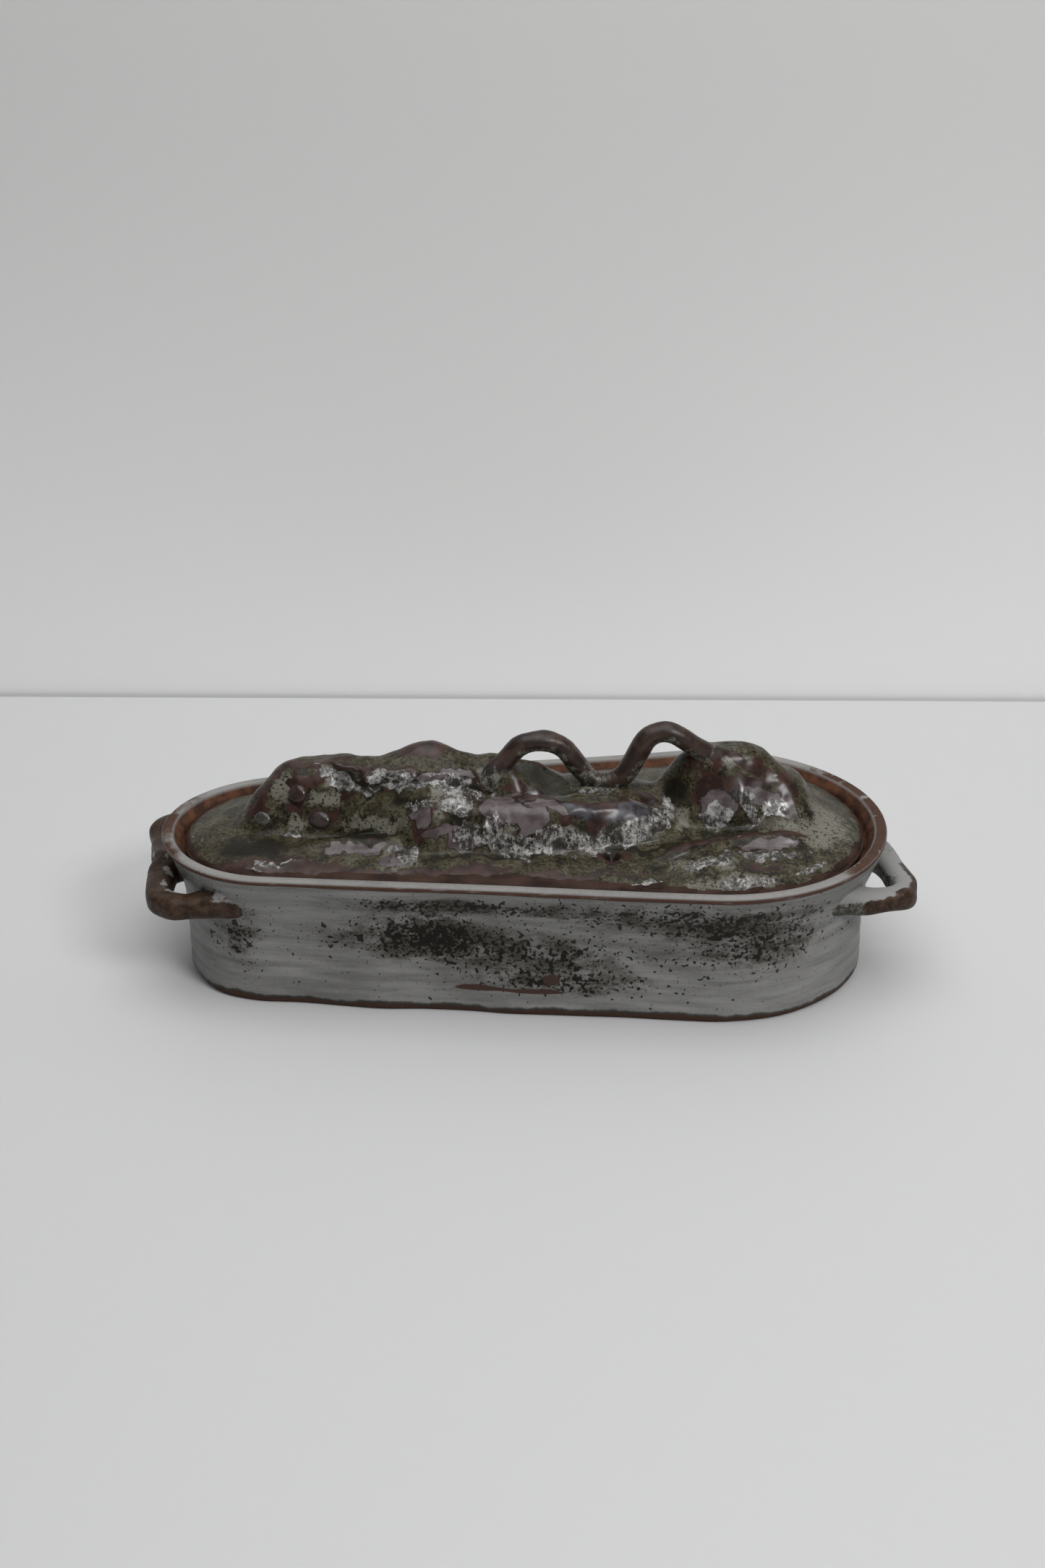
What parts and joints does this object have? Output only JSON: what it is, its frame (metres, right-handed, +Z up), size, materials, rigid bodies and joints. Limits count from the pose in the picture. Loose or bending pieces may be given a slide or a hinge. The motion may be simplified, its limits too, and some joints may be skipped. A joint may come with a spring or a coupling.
{
  "type": "casserole dish",
  "caption": "Long tapered stoneware casserole with looped end handles and a lid bearing a modelled hare under a rolled coil handle.",
  "frame": {"origin": "on the table, under the middle of the whole object's bounding box", "axes": "+X along the length towards the broader end, +Y across towards the side away from the steam hole, +Z up"},
  "size_m": [0.4376, 0.194, 0.1455],
  "materials": {
    "dish_glaze": "satin",
    "lid_glaze": "gloss"
  },
  "bodies": {
    "root": {"dish": "dish_glaze", "lid": "lid_glaze"}
  },
  "joints": []
}
